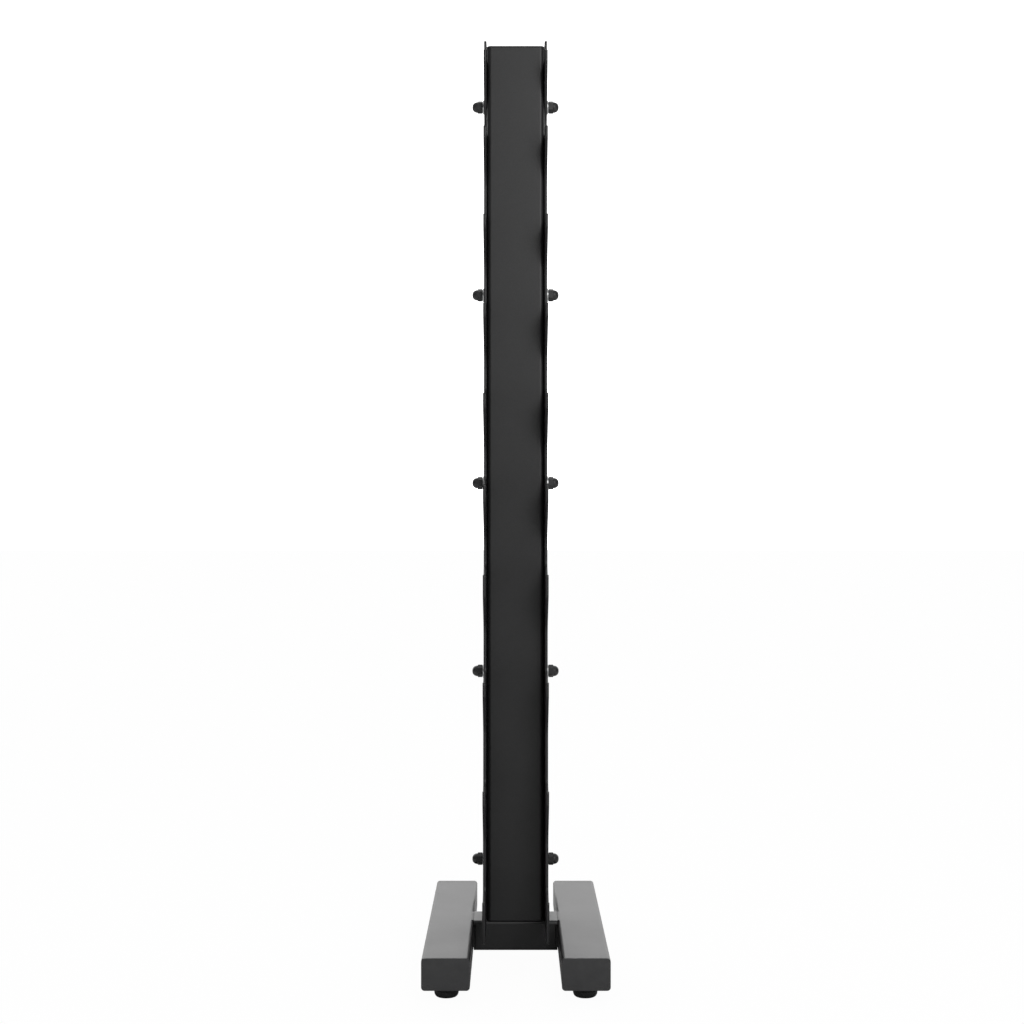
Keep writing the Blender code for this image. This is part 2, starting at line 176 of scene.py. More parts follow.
# %% Group: settled_dust
def make_settled_dust():
    group, given, out = new_group("settled_dust", {"Amount": 0.2, "Speck Size": 0.003}, ["Dust"])
    geometry = add_node(group, "ShaderNodeNewGeometry")
    tilt = add_node(group, "ShaderNodeSeparateXYZ", {"Vector": geometry.outputs["Normal"]})
    upward = remap(group, tilt.outputs["Z"], 0.55, 1.0)
    place = own_place(group)
    speck_scale = maths(group, "DIVIDE", 1.0, given["Speck Size"])
    specks = noise(group, place, speck_scale, detail=3.0, roughness=0.7)
    film = noise(group, place, 14.0, detail=2.0)
    broken = remap(group, specks, 0.45, 0.7)
    cover = remap(group, film, 0.3, 0.75, 0.25, 1.0)
    dust = maths(group, "MULTIPLY", maths(group, "MULTIPLY", upward, broken), cover)
    group.links.new(maths(group, "MULTIPLY", dust, given["Amount"]), out["Dust"])
    return group


SETTLED_DUST = make_settled_dust()
print("group", SETTLED_DUST.name, "with", len(SETTLED_DUST.nodes), "nodes")

# %% [markdown]
# ## Handling wear
# Dumbbell handles burnish the coat where they rest, and dust never stays there. The plates carry
# a painted value named handled, and this group breaks that value up into rubbed patches.

# %% Group: rubbed_patches
def make_rubbed_patches():
    group, given, out = new_group("rubbed_patches", {"Handled": 0.0, "Patch Size": 0.004}, ["Rubbed"])
    patch_scale = maths(group, "DIVIDE", 1.0, given["Patch Size"])
    patches = noise(group, own_place(group), patch_scale, detail=4.0, roughness=0.65)
    reach = maths(group, "ADD", patches, given["Handled"])
    rubbed = remap(group, reach, 0.95, 1.35)
    group.links.new(maths(group, "MULTIPLY", rubbed, given["Handled"]), out["Rubbed"])
    return group


RUBBED_PATCHES = make_rubbed_patches()
print("group", RUBBED_PATCHES.name, "with", len(RUBBED_PATCHES.nodes), "nodes")

# %% [markdown]
# ## The black powder coat
# The frame's finish is a satin black coat over steel. It is paint, so it isn't metallic: its
# highlights come from the coat's surface, and faces seen at a low angle shine much brighter than
# faces seen straight on. The powder grain drives the bump, the gloss and a faint colour change.

# %% Material: satin black powder coat
DUST_GREY = (0.30, 0.29, 0.28, 1.0)
RUBBED_BLACK = (0.055, 0.055, 0.058, 1.0)
COAT_ROUGHNESS = (0.39, 0.415)
DUST_ROUGHENS = 0.5
RUBBING_SMOOTHS = 0.16
PEBBLE_DEPTH = 0.00006


def start_material(name):
    material = bpy.data.materials.new(name)
    material.use_nodes = True
    tree = material.node_tree
    return material, tree, tree.nodes["Principled BSDF"]


def place_group(tree, group, **values):
    """A node that uses a shared group, with its named inputs filled."""
    named = {key.replace("_", " "): value for key, value in values.items()}
    return add_node(tree, "ShaderNodeGroup", named, node_tree=group)


def add_bump(tree, principled, height, depth, strength):
    bump = add_node(tree, "ShaderNodeBump", {"Height": height, "Distance": depth, "Strength": strength})
    tree.links.new(bump.outputs["Normal"], principled.inputs["Normal"])


def powder_coat(name, low_color, high_color, pebble_size, dust_amount):
    material, tree, principled = start_material(name)
    grain = place_group(tree, POWDER_GRAIN, Pebble_Size=pebble_size, Peel_Share=0.8)
    dust = place_group(tree, SETTLED_DUST, Amount=dust_amount, Speck_Size=0.0035)
    handled = add_node(tree, "ShaderNodeAttribute", attribute_name="handled").outputs["Fac"]
    rubbed = place_group(tree, RUBBED_PATCHES, Handled=handled, Patch_Size=0.004)
    shade = blend_colors(tree, grain.outputs["Fine"], low_color, high_color)
    dusty = blend_colors(tree, dust.outputs["Dust"], shade, DUST_GREY)
    worn = blend_colors(tree, rubbed.outputs["Rubbed"], dusty, RUBBED_BLACK)
    tree.links.new(worn, principled.inputs["Base Color"])
    even = remap(tree, grain.outputs["Broad"], 0.0, 1.0, *COAT_ROUGHNESS)
    dulling = maths(tree, "MULTIPLY", dust.outputs["Dust"], DUST_ROUGHENS)
    polishing = maths(tree, "MULTIPLY", rubbed.outputs["Rubbed"], RUBBING_SMOOTHS)
    roughness = maths(tree, "SUBTRACT", maths(tree, "ADD", even, dulling), polishing)
    tree.links.new(roughness, principled.inputs["Roughness"])
    principled.inputs["Specular IOR Level"].default_value = 0.40
    add_bump(tree, principled, grain.outputs["Height"], PEBBLE_DEPTH, strength=0.6)
    return material


COAT = powder_coat("black_powder_coat", low_color=(0.0070, 0.0070, 0.0074, 1.0),
                   high_color=(0.0120, 0.0120, 0.0126, 1.0), pebble_size=0.0014, dust_amount=0.16)
print("material", COAT.name)

# %% [markdown]
# ## Moulded plastic grain
# The tube caps are injection moulded. Their mould is spark-eroded, which leaves a matt, leathery
# grain of tiny cells. A smooth Voronoi pattern gives the cells and a noise makes them uneven. The
# rubber pads take the same group with finer cells.

# %% Group: moulded_grain
def make_moulded_grain():
    group, given, out = new_group("moulded_grain", {"Cell Size": 0.0009}, ["Height", "Mottle"])
    place = own_place(group)
    cell_scale = maths(group, "DIVIDE", 1.0, given["Cell Size"])
    cells = add_node(group, "ShaderNodeTexVoronoi", {"Vector": place, "Scale": cell_scale},
                     feature="SMOOTH_F1")
    uneven = noise(group, place, maths(group, "MULTIPLY", cell_scale, 0.35), detail=3.0)
    mottle = noise(group, place, 60.0, detail=2.0)
    group.links.new(maths(group, "ADD", cells.outputs["Distance"], uneven), out["Height"])
    group.links.new(remap(group, mottle, 0.3, 0.7), out["Mottle"])
    return group


MOULDED_GRAIN = make_moulded_grain()
print("group", MOULDED_GRAIN.name, "with", len(MOULDED_GRAIN.nodes), "nodes")

# %% Materials: cap plastic and pad rubber
def moulded(name, low_color, high_color, cell_size, roughness, dust_amount, depth):
    material, tree, principled = start_material(name)
    grain = place_group(tree, MOULDED_GRAIN, Cell_Size=cell_size)
    dust = place_group(tree, SETTLED_DUST, Amount=dust_amount, Speck_Size=0.003)
    shade = blend_colors(tree, grain.outputs["Mottle"], low_color, high_color)
    dusty = blend_colors(tree, dust.outputs["Dust"], shade, DUST_GREY)
    tree.links.new(dusty, principled.inputs["Base Color"])
    uneven = remap(tree, grain.outputs["Mottle"], 0.0, 1.0, *roughness)
    tree.links.new(uneven, principled.inputs["Roughness"])
    add_bump(tree, principled, grain.outputs["Height"], depth, strength=0.6)
    return material


PLASTIC = moulded("black_plastic", (0.017, 0.017, 0.018, 1.0), (0.024, 0.024, 0.025, 1.0),
                  cell_size=0.0008, roughness=(0.42, 0.50), dust_amount=0.12, depth=0.00005)
RUBBER = moulded("black_rubber", (0.006, 0.006, 0.006, 1.0), (0.014, 0.014, 0.014, 1.0),
                 cell_size=0.0006, roughness=(0.62, 0.80), dust_amount=0.30, depth=0.00006)
print("materials", PLASTIC.name, RUBBER.name)

# %% [markdown]
# ## Plated and oxidised steel
# Rods, studs and washers are not painted. Zinc plate has a pale, slightly cloudy sheen with fine
# tumbling scratches, and the dome nuts are blackened. One group gives both their cloud and their
# scratches: the scratches are a noise stretched long in one direction.

# %% Group: tumbled_metal
def make_tumbled_metal():
    group, given, out = new_group("tumbled_metal", {"Cloud Size": 0.006, "Scratch Size": 0.0004},
                                  ["Cloud", "Scratch", "Height"])
    place = own_place(group)
    stretched = add_node(group, "ShaderNodeMapping", {"Vector": place, "Scale": (1.0, 0.12, 0.45)})
    cloud_scale = maths(group, "DIVIDE", 1.0, given["Cloud Size"])
    scratch_scale = maths(group, "DIVIDE", 1.0, given["Scratch Size"])
    clouds = noise(group, place, cloud_scale, detail=3.0)
    scratches = noise(group, stretched.outputs["Vector"], scratch_scale, detail=2.0)
    scratch = remap(group, scratches, 0.45, 0.7)
    group.links.new(remap(group, clouds, 0.3, 0.7), out["Cloud"])
    group.links.new(scratch, out["Scratch"])
    group.links.new(maths(group, "ADD", scratch, clouds), out["Height"])
    return group


TUMBLED_METAL = make_tumbled_metal()
print("group", TUMBLED_METAL.name, "with", len(TUMBLED_METAL.nodes), "nodes")

# %% Materials: bright zinc and black finished nuts
SCRATCH_DEPTH = 0.00001


def fastener_finish(name, low_color, high_color, scratch_color, roughness, metallic):
    material, tree, principled = start_material(name)
    metal = place_group(tree, TUMBLED_METAL, Cloud_Size=0.006, Scratch_Size=0.0005)
    cloudy = blend_colors(tree, metal.outputs["Cloud"], low_color, high_color)
    scratch = maths(tree, "MULTIPLY", metal.outputs["Scratch"], 0.35)
    scratched = blend_colors(tree, scratch, cloudy, scratch_color)
    tree.links.new(scratched, principled.inputs["Base Color"])
    uneven = remap(tree, metal.outputs["Cloud"], 0.0, 1.0, *roughness)
    tree.links.new(uneven, principled.inputs["Roughness"])
    principled.inputs["Metallic"].default_value = metallic
    add_bump(tree, principled, metal.outputs["Height"], SCRATCH_DEPTH, strength=0.4)
    return material


ZINC = fastener_finish("zinc_plated_steel", (0.50, 0.51, 0.52, 1.0), (0.64, 0.64, 0.63, 1.0),
                       (0.78, 0.78, 0.78, 1.0), roughness=(0.26, 0.40), metallic=1.0)
BLACK_NUT = fastener_finish("black_oxide_steel", (0.007, 0.007, 0.008, 1.0), (0.012, 0.012, 0.013, 1.0),
                            (0.022, 0.022, 0.023, 1.0), roughness=(0.42, 0.52), metallic=0.0)
print("materials", ZINC.name, BLACK_NUT.name)

# %% [markdown]
# ## Rings make most of a rack
# A tube, a cap, a washer and a dome nut are all rings of points joined one to the next. A loft
# joins rings that have the same number of points. Points set close beside each rounded corner hold
# the flats flat, so their shading doesn't bend.

# %% Lofting rings into closed meshes
QUARTER_TURN = math.radians(90)
HOLD = 0.0006  # distance from a rounded edge to its holding points


def rounded_ring(width, height, radius, steps=8):
    """A rectangle's outline, anticlockwise, with rounded corners and holding points on its sides."""
    half_width, half_height = width / 2, height / 2
    ring = []
    for turn, (x_sign, y_sign) in enumerate(((1, -1), (1, 1), (-1, 1), (-1, -1))):
        centre_x = x_sign * (half_width - radius)
        centre_y = y_sign * (half_height - radius)
        start = math.radians(90 * turn - 90)
        end = start + QUARTER_TURN
        beyond = end + QUARTER_TURN
        corner = []
        for step in range(steps + 1):
            angle = start + QUARTER_TURN * step / steps
            corner.append((centre_x + radius * math.cos(angle), centre_y + radius * math.sin(angle)))
        before = (corner[0][0] - HOLD * math.cos(end), corner[0][1] - HOLD * math.sin(end))
        after = (corner[-1][0] + HOLD * math.cos(beyond), corner[-1][1] + HOLD * math.sin(beyond))
        ring += [before, *corner, after]
    return ring


def loft(rings, closed=False):
    """A mesh through rings of (x, y, z) points. Open lofts are capped, closed ones come back round."""
    mesh = bpy.data.meshes.new("loft")
    bm = bmesh.new()
    loops = [[bm.verts.new(point) for point in ring] for ring in rings]
    count = len(loops[0])
    pairs = list(zip(loops, loops[1:]))
    if closed:
        pairs.append((loops[-1], loops[0]))
    for lower, upper in pairs:
        for i in range(count):
            j = (i + 1) % count
            bm.faces.new((lower[i], lower[j], upper[j], upper[i]))
    if not closed:
        bm.faces.new(loops[0][::-1])
        bm.faces.new(loops[-1])
    bmesh.ops.recalc_face_normals(bm, faces=bm.faces)
    bm.to_mesh(mesh)
    bm.free()
    return mesh


def at_height(ring, z):
    return [(x, y, z) for x, y in ring]


def circle(radius, steps):
    """Points round a circle, anticlockwise."""
    angles = [math.tau * i / steps for i in range(steps)]
    return [(radius * math.cos(angle), radius * math.sin(angle)) for angle in angles]


def spin(profile, steps):
    """A closed profile of (radius, height) points, turned about Z."""
    return loft([at_height(circle(radius, steps), z) for radius, z in profile], closed=True)


# %% [markdown]
# ## Onto the rack
# Every finished mesh gets its material, smooth shading with sharp edges kept, and the body it
# rides on. It then stands for its engineering twins, which are hidden.

# %% Putting a finished piece on the rack
SHARP = math.radians(35)


def dress(name, mesh, material, body, *stands_for, matrix=Matrix.Identity(4), sharp=SHARP):
    """Makes the mesh a piece of the rack in place of its engineering twins."""
    mesh.transform(matrix)
    mesh.materials.clear()
    mesh.materials.append(material)
    mesh.shade_smooth()
    mesh.set_sharp_from_angle(angle=sharp)
    piece = bpy.data.objects.new(name, mesh)
    bpy.context.scene.collection.objects.link(piece)
    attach(piece, body)
    if stands_for:
        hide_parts(*stands_for)
    return piece


def facing(axis, location):
    """The matrix that stands a mesh's own +Z along an axis, at a place."""
    return Matrix.Translation(location) @ Vector(axis).to_track_quat("Z", "Y").to_matrix().to_4x4()


# %% [markdown]
# ## Square tubes
# The spine, the feet and the cross tube are cold rolled steel tube. Its corners are rounded by the
# rolls, more widely on the spine, and its walls are 2.5 mm thick. The cut ends have a small break.
# The tube is a loft that runs up the outside, over the end, down the inside and back.

# %% Tube with rounded corners and broken ends
TUBE_CORNER = 0.0055
SPINE_CORNER = 0.0075
TUBE_WALL = 0.0025
END_BREAK = 0.0003


def tube(width, height, length, corner=TUBE_CORNER):
    inner = (width - 2 * TUBE_WALL, height - 2 * TUBE_WALL, corner - TUBE_WALL)
    outer = (width, height, corner)
    half = length / 2
    rings = []
    for end in (-1, 1):
        outside = [(outer, 0.0, HOLD + END_BREAK), (outer, 0.0, END_BREAK), (outer, END_BREAK, 0.0)]
        inside = [(inner, -END_BREAK, 0.0), (inner, 0.0, END_BREAK), (inner, 0.0, HOLD + END_BREAK)]
        run = outside + inside
        if end < 0:
            run = run[::-1]
        for (ring_width, ring_height, radius), inset, depth in run:
            ring = rounded_ring(ring_width - 2 * inset, ring_height - 2 * inset, radius - inset)
            rings.append(at_height(ring, end * (half - depth)))
    return loft(rings, closed=True)


# %% [markdown]
# ## Drilling
# Holes are cut the way a shop does it: a drill the right size goes through the wall. Here the
# drill is a cylinder and the cut is an exact Boolean, baked into the mesh before it is dressed.

# %% Drilling a mesh
ROD_HOLE = 0.0066  # the radius, as for every hole below
STUD_HOLE = 0.0056
HOLE_STEPS = 48


def drill(mesh, radius, length, centres, axis):
    """Cuts a round hole through the mesh at each centre, along an axis."""
    work = bpy.data.objects.new("work", mesh)
    bpy.context.scene.collection.objects.link(work)
    bits = []
    for centre in centres:
        bit_end = circle(radius, HOLE_STEPS)
        bit_mesh = loft([at_height(bit_end, -length / 2), at_height(bit_end, length / 2)])
        bit_mesh.transform(facing(axis, centre))
        bit = bpy.data.objects.new("bit", bit_mesh)
        bpy.context.scene.collection.objects.link(bit)
        cut = work.modifiers.new("cut", "BOOLEAN")
        cut.operation = "DIFFERENCE"
        cut.solver = "EXACT"
        cut.object = bit
        bits.append(bit)
    bpy.context.view_layer.update()
    drilled = bpy.data.meshes.new_from_object(work.evaluated_get(bpy.context.evaluated_depsgraph_get()))
    for used in [work, *bits]:
        bpy.data.objects.remove(used, do_unlink=True)
    return drilled


# %% [markdown]
# ## Spine, feet and cross tube
# The spine carries the bolts, the two feet run front to rear, and the cross tube joins them with
# its top level with theirs. The tubes keep their real bolt holes and levelling stud holes.

# %% Build the four tubes
rod_heights = [middle_and_size(f"tie_rod_{number}")[0].z for number in range(1, 6)]
spine_mesh = tube(spine_size.x, spine_size.y, spine_size.z, SPINE_CORNER)
spine_mesh.transform(Matrix.Translation(spine_middle))
rod_centres = [(0.0, 0.0, z) for z in rod_heights]
spine_mesh = drill(spine_mesh, ROD_HOLE, 2 * spine_size.x, rod_centres, (1, 0, 0))
dress("spine_tube", spine_mesh, COAT, "rack", "spine")

for side in SIDES:
    middle, size = middle_and_size(f"foot_{side}")
    foot_mesh = tube(size.x, size.z, size.y)
    foot_mesh.transform(facing((0, 1, 0), middle))
    stud_places = [middle_and_size(f"leveller_stud_{side}_{end}")[0] for end in ENDS]
    holes = [(place.x, place.y, middle.z - size.z / 2) for place in stud_places]
    foot_mesh = drill(foot_mesh, STUD_HOLE, 4 * TUBE_WALL, holes, (0, 0, 1))
    dress(f"foot_tube_{side}", foot_mesh, COAT, "rack", f"foot_{side}")

middle, size = middle_and_size("cross_tube")
cross_mesh = tube(size.y, size.z, size.x)
dress("cross_rail", cross_mesh, COAT, "rack", "cross_tube", matrix=facing((1, 0, 0), middle))

# %% [markdown]
# ## Hook plates
# Each plate is laser cut from 4.5 mm sheet. Its outline repeats ten times on each face: a tip with
# a lip that leans back, a round saddle for the handle, a ramp up to the wall, and a fin below. The
# outline comes from the same corner list as the engineering model, rounded with finer arcs.

# %% The plate's outline
# A row a level from the top: reach of the tip, reach of the wall behind it, height of the nose
# under the tip, how far the fin then falls, and the distance down to the next tip.
LEVELS = (
    (0.084, 0.028, 0.020, 0.080, 0.131),
    (0.100, 0.018, 0.020, 0.058, 0.150),
    (0.115, 0.037, 0.022, 0.058, 0.150),
    (0.129, 0.042, 0.022, 0.064, 0.150),
    (0.139, 0.043, 0.024, 0.066, 0.150),
    (0.146, 0.050, 0.030, 0.062, 0.150),
    (0.154, 0.052, 0.036, 0.056, 0.175),
    (0.174, 0.079, 0.022, 0.066, 0.175),
    (0.190, 0.111, 0.022, 0.063, 0.175),
    (0.212, 0.132, 0.020, 0.000, 0.000),
)
LIP_WIDTH = 0.008
LIP_ANGLE = math.radians(80)
SADDLE_DROP = 0.027
RAMP_ANGLE = math.radians(24)
CROWN_RADIUS = 0.003
RAMP_RADIUS = 0.012
SADDLE_RADIUS = 0.018
TIP_RADIUS = 0.0038
NOSE_RADIUS = 0.008
FIN_RADIUS = 0.036
PLATE_FOOT = (0.202, 0.004)  # reach and radius of the lowest corner
PLATE_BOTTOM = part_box("hook_plate_left")[0].z
PLATE_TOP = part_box("hook_plate_left")[1].z
TOP_TIP_HEIGHT = 1.546


def plate_corners():
    """Corners of the front half from the crown down, as (reach, height, radius, handled)."""
    corners = [(LEVELS[0][1], PLATE_TOP, CROWN_RADIUS, 0)]
    height = TOP_TIP_HEIGHT
    for i, (reach, wall, nose, fin_drop, pitch) in enumerate(LEVELS):
        saddle = reach - LIP_WIDTH - SADDLE_DROP / math.tan(LIP_ANGLE)
        ramp_top = height - SADDLE_DROP + (saddle - wall) * math.tan(RAMP_ANGLE)
        corners.append((wall, ramp_top, RAMP_RADIUS, 0))
        corners.append((saddle, height - SADDLE_DROP, SADDLE_RADIUS, 1))
        corners.append((reach - LIP_WIDTH, height, TIP_RADIUS, 0))
        corners.append((reach, height, TIP_RADIUS, 0))
        corners.append((reach, height - nose, NOSE_RADIUS, 0))
        if i + 1 < len(LEVELS):
            corners.append((LEVELS[i + 1][1], height - nose - fin_drop, FIN_RADIUS, 0))
        height -= pitch
    corners.append((PLATE_FOOT[0], PLATE_BOTTOM, PLATE_FOOT[1], 0))
    return corners


def round_corners(corners, sag=0.00004):
    """The closed outline through (x, y, radius, handled) corners, each rounded with an arc.

    Sag is the most that a straight step may cut inside its arc.
    """
    points = []
    for i, (x, y, radius, handled) in enumerate(corners):
        before, after = corners[i - 1], corners[(i + 1) % len(corners)]
        to_before = math.atan2(before[1] - y, before[0] - x)
        to_after = math.atan2(after[1] - y, after[0] - x)
        opening = (to_after - to_before + math.pi) % math.tau - math.pi
        middle = to_before + opening / 2
        reach = radius / math.sin(abs(opening) / 2)
        centre_x, centre_y = x + reach * math.cos(middle), y + reach * math.sin(middle)
        turn = math.pi - abs(opening)
        steps = max(2, math.ceil(turn / (2 * math.acos(1 - sag / radius))))
        sweep = turn if opening < 0 else -turn
        start = middle + math.pi - sweep / 2
        for step in range(steps + 1):
            angle = start + sweep * step / steps
            points.append((centre_x + radius * math.cos(angle), centre_y + radius * math.sin(angle),
                           handled))
    return points


front_half = plate_corners()
rear_half = [(-x, y, radius, handled) for x, y, radius, handled in reversed(front_half)]
plate_outline = round_corners(front_half + rear_half)
plate_outline.reverse()  # anticlockwise, so that the sheet is on its left
print("plate outline:", len(plate_outline), "points")

# %% [markdown]
# ## Cutting the sheet
# The laser leaves crisp edges, and tumbling rounds them by a few tenths before the coat goes on.
# Rings that step in and down round each edge. The flats between are filled with triangles, whose
# outermost ring is a holding ring, so no shading creeps over the sheet.

# %% A flat plate with rounded edges
SHEET_EDGE = 0.0004
SHEET_EDGE_STEPS = 3


def step_in(outline, distance):
    """Moves each point of an outline to its left by a distance, keeping the sides parallel."""
    moved = []
    for i, (x, y, *rest) in enumerate(outline):
        normals = []
        for start, end in ((outline[i - 1], outline[i]), (outline[i], outline[(i + 1) % len(outline)])):
            along = Vector((end[0] - start[0], end[1] - start[1])).normalized()
            normals.append(Vector((-along.y, along.x)))
        miter = (normals[0] + normals[1]) / (1 + normals[0].dot(normals[1]))
        moved.append((x + distance * miter.x, y + distance * miter.y, *rest))
    return moved


def with_holding_points(outline):
    """Adds a point close to both ends of every long straight side."""
    held = []
    for i, point in enumerate(outline):
        held.append(point)
        following = outline[(i + 1) % len(outline)]
        side = Vector((following[0] - point[0], following[1] - point[1]))
        if side.length > 4 * HOLD:
            nudge = side.normalized() * HOLD
            held.append((point[0] + nudge.x, point[1] + nudge.y, 0))
            held.append((following[0] - nudge.x, following[1] - nudge.y, 0))
    return held


def cut_sheet(outlines, thickness):
    """A sheet around local Z = 0. Each outline keeps the sheet on its left."""
    mesh = bpy.data.meshes.new("sheet")
    bm = bmesh.new()
    handled_layer = bm.verts.layers.float.new("handled")
    layers = [(SHEET_EDGE + HOLD, thickness / 2, 0)]
    for step in range(SHEET_EDGE_STEPS + 1):
        angle = QUARTER_TURN * step / SHEET_EDGE_STEPS
        inward = SHEET_EDGE * (1 - math.sin(angle))
        layers.append((inward, thickness / 2 - SHEET_EDGE * (1 - math.cos(angle)), 1))
    layers += [(inward, -z, rim) for inward, z, rim in reversed(layers)]
    faces_to_fill = ([], [])
    for outline in outlines:
        loops = []
        for inward, z, rim in layers:
            loop = []
            for x, y, handled in step_in(outline, inward):
                vertex = bm.verts.new((x, y, z))
                vertex[handled_layer] = handled * rim
                loop.append(vertex)
            loops.append(loop)
        for upper, lower in zip(loops, loops[1:]):
            for i in range(len(upper)):
                j = (i + 1) % len(upper)
                bm.faces.new((upper[i], upper[j], lower[j], lower[i]))
        for bounds, loop in zip(faces_to_fill, (loops[0], loops[-1])):
            bounds += [bm.edges.get((loop[i], loop[(i + 1) % len(loop)])) for i in range(len(loop))]
    for bounds in faces_to_fill:
        bmesh.ops.triangle_fill(bm, edges=bounds, use_beauty=True)
    bmesh.ops.recalc_face_normals(bm, faces=bm.faces)
    bm.to_mesh(mesh)
    bm.free()
    return mesh


def hole_outline(radius, height):
    """A round hole, clockwise, so that the sheet is on its left."""
    return [(x, height - y, 0) for x, y in circle(radius, HOLE_STEPS)]


# %% Build both hook plates
outlines = [with_holding_points(plate_outline)]
outlines += [hole_outline(ROD_HOLE, z) for z in rod_heights]
SHEET_UPRIGHT = Matrix(((0, 0, 1, 0), (1, 0, 0, 0), (0, 1, 0, 0), (0, 0, 0, 1)))
for side in SIDES:
    middle, size = middle_and_size(f"hook_plate_{side}")
    plate_mesh = cut_sheet(outlines, size.x)
    upright = Matrix.Translation((middle.x, 0, 0)) @ SHEET_UPRIGHT
    plate = dress(f"laser_cut_plate_{side}", plate_mesh, COAT, "rack", f"hook_plate_{side}", matrix=upright)
    print(plate.name, len(plate.data.vertices), "points")

# %% [markdown]
# ## Tube caps
# A cap is a plastic lid with a plug that grips the inside of the tube. Its face is very slightly
# crowned, so that it doesn't sink in the mould, and its edge is rounded. The plug is hollow.

# %% Build the caps
CAP_EDGE = 0.0009
CAP_EDGE_STEPS = 5
CAP_CROWN = 0.0002
CAP_LID = 0.003
CAP_BREAK = 0.0002
PLUG_GAP = 0.0003
PLUG_WALL = 0.002
PLUG_DEPTH = 0.016
PLUG_TAPER = 0.0006
HOLLOW_CORNER = 0.001
SMALLEST_CORNER = 0.0005


def cap(width, height, corner=TUBE_CORNER):
    """A cap whose face looks along +Z at Z = 0, with its plug below."""
    rings = []

    def add_ring(step, radius, z):
        rings.append(at_height(rounded_ring(width - 2 * step, height - 2 * step, radius), z))

    plug = TUBE_WALL + PLUG_GAP
    plug_corner = corner - TUBE_WALL
    add_ring(plug + PLUG_WALL, HOLLOW_CORNER, -CAP_LID)
    add_ring(plug + PLUG_WALL, HOLLOW_CORNER, 0.001 - CAP_LID - PLUG_DEPTH)
    add_ring(plug + PLUG_TAPER, plug_corner, -CAP_LID - PLUG_DEPTH)
    add_ring(plug, plug_corner, 0.0015 - CAP_LID - PLUG_DEPTH)
    add_ring(plug, plug_corner, -CAP_LID)
    add_ring(CAP_BREAK, corner, -CAP_LID)
    add_ring(0.0, corner, CAP_BREAK - CAP_LID)
    for step in range(CAP_EDGE_STEPS + 1):
        angle = QUARTER_TURN * step / CAP_EDGE_STEPS
        inward = CAP_EDGE * (1 - math.cos(angle))
        add_ring(inward, corner - inward, -CAP_EDGE - CAP_CROWN + CAP_EDGE * math.sin(angle))
    for share in (0.10, 0.3, 0.6, 0.85):
        inward = CAP_EDGE + share * (min(width, height) / 2 - CAP_EDGE)
        rise = CAP_CROWN * math.sin(QUARTER_TURN * share)
        add_ring(inward, max(SMALLEST_CORNER, corner - inward), rise - CAP_CROWN)
    return loft(rings)


for side in SIDES:
    for end, sign in ENDS.items():
        node = f"foot_cap_{side}_{end}"
        low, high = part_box(node)
        face = low.y if sign < 0 else high.y
        place = ((low.x + high.x) / 2, face, (low.z + high.z) / 2)
        turn = Matrix.Translation(place) @ Matrix.Rotation(math.radians(180 if sign > 0 else 0), 4, "Z")
        turn = turn @ Matrix.Rotation(QUARTER_TURN, 4, "X")
        cap_mesh = cap(high.x - low.x, high.z - low.z)
        dress(f"foot_end_cap_{side}_{end}", cap_mesh, PLASTIC, "rack", node, matrix=turn)

low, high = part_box("spine_top_cap")
top_cap = cap(high.x - low.x, high.y - low.y, SPINE_CORNER)
dress("spine_cap", top_cap, PLASTIC, "rack", "spine_top_cap", matrix=Matrix.Translation((0, 0, high.z)))
print("caps:", 1 + len(CORNERS))

# %% [markdown]
# ## Dome nuts and washers
# A dome nut covers the end of its rod, so that nobody is scratched. It is a hexagon with
# chamfered corners and a round dome on top. Going round the nut, the hexagon's radius changes, and
# where it is greater than the chamfer's start, the chamfer cuts in: that rule shapes the hexagon's
# two rings. All other rings are round. A washer is a small profile spun round the axis.

# %% Dome nut and washer meshes
NUT_FLATS = 0.019
NUT_HEX = 0.0088
NUT_HEIGHT = 0.018
NUT_DOME = 0.0094
NUT_CHAMFER = math.radians(30)
NUT_CORNER_EASE = 0.00015
NUT_BORE = 0.0063
NUT_BORE_DEPTH = 0.0125
NUT_BORE_BREAK = 0.0008
CHAMFER_START = NUT_FLATS / 2 - 0.0003
DOME_FOOT = NUT_DOME - 0.0003
DOME_BASE = NUT_HEX + 0.0004
DOME_STEPS = 17
DOME_FULLNESS = 0.85  # below 1, the dome is fuller than half an ellipse
WASHER_RADIUS = 0.012
WASHER_EDGE = 0.0004
WASHER_STEPS = 64


def nut_angles():
    """Angles round the nut, closer together near its six corners."""
    angles = []
    for corner in range(6):
        for offset in (0.0, 0.8, 2.2, 6.0, 12.0, 20.0, 30.0, 40.0, 48.0, 54.0, 57.8, 59.2):
            angles.append(math.radians(60 * corner + offset))
    return angles


def hex_radius(angle):
    """Distance from the nut's axis to its side, with a slightly eased corner at 0 degrees."""
    from_flat = (angle % math.radians(60)) - math.radians(30)
    sharp = NUT_FLATS / 2 / math.cos(from_flat)
    return min(sharp, NUT_FLATS / math.sqrt(3) - NUT_CORNER_EASE)


